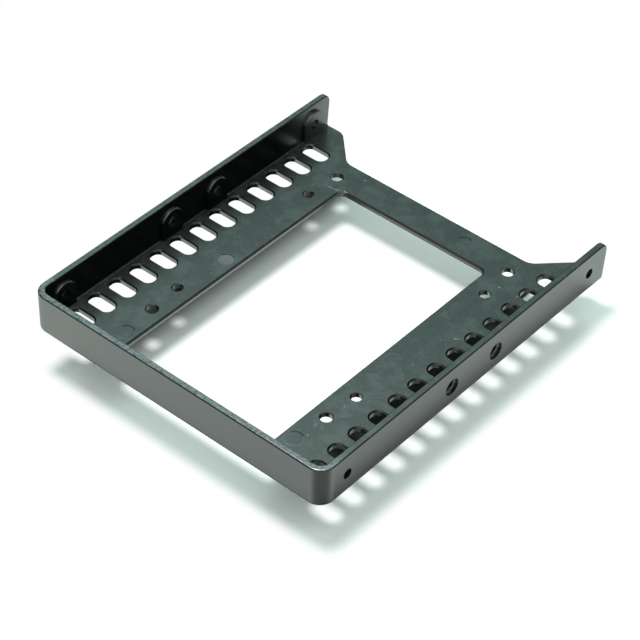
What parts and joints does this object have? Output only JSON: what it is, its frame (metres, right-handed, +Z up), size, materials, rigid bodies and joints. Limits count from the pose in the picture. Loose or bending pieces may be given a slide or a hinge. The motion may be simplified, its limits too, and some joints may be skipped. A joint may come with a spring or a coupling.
{
  "type": "drive mounting bracket",
  "caption": "Shallow black plastic tray that holds a 2.5-inch drive in a 3.5-inch bay, with an open middle, vent slots in both rails and screw holes in the base and side walls.",
  "frame": {"origin": "centre of the bracket's underside", "axes": "+X to the right across the bay, +Y from the front wall to the open far end, +Z up from the underside"},
  "size_m": [0.1016, 0.119, 0.0127],
  "materials": {
    "black_plastic": "satin moulded black plastic with a fine grain"
  },
  "bodies": {
    "root": {"mounting_bracket": "black_plastic"}
  },
  "joints": []
}
